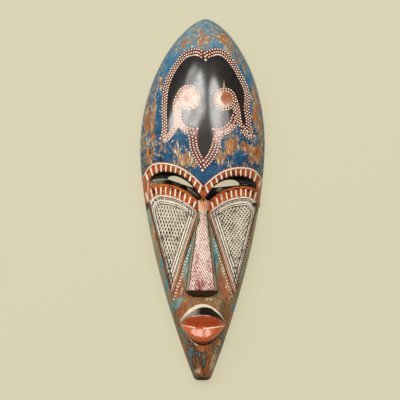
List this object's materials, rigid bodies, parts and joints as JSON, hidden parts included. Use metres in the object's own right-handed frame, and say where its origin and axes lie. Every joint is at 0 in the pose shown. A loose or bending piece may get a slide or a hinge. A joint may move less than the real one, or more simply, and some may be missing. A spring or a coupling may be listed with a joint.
{
  "type": "wooden mask",
  "caption": "Long oval carved wooden wall mask, hollow behind, with slit eyes, notched brows, lattice cheek panels, a long nose and full lips, painted and rubbed back.",
  "frame": {"origin": "middle of the flat back rim that the mask lies on", "axes": "+Z out of the face, +Y towards the crown, +X to the viewer's right when the face is seen upright"},
  "size_m": [0.1552, 0.4505, 0.0711],
  "materials": {
    "painted_wood": "carved light hardwood, brush painted in blue, teal, orange, cream and black, rubbed back and waxed to a soft gloss"
  },
  "bodies": {
    "root": {"mask": "painted_wood"}
  },
  "joints": []
}
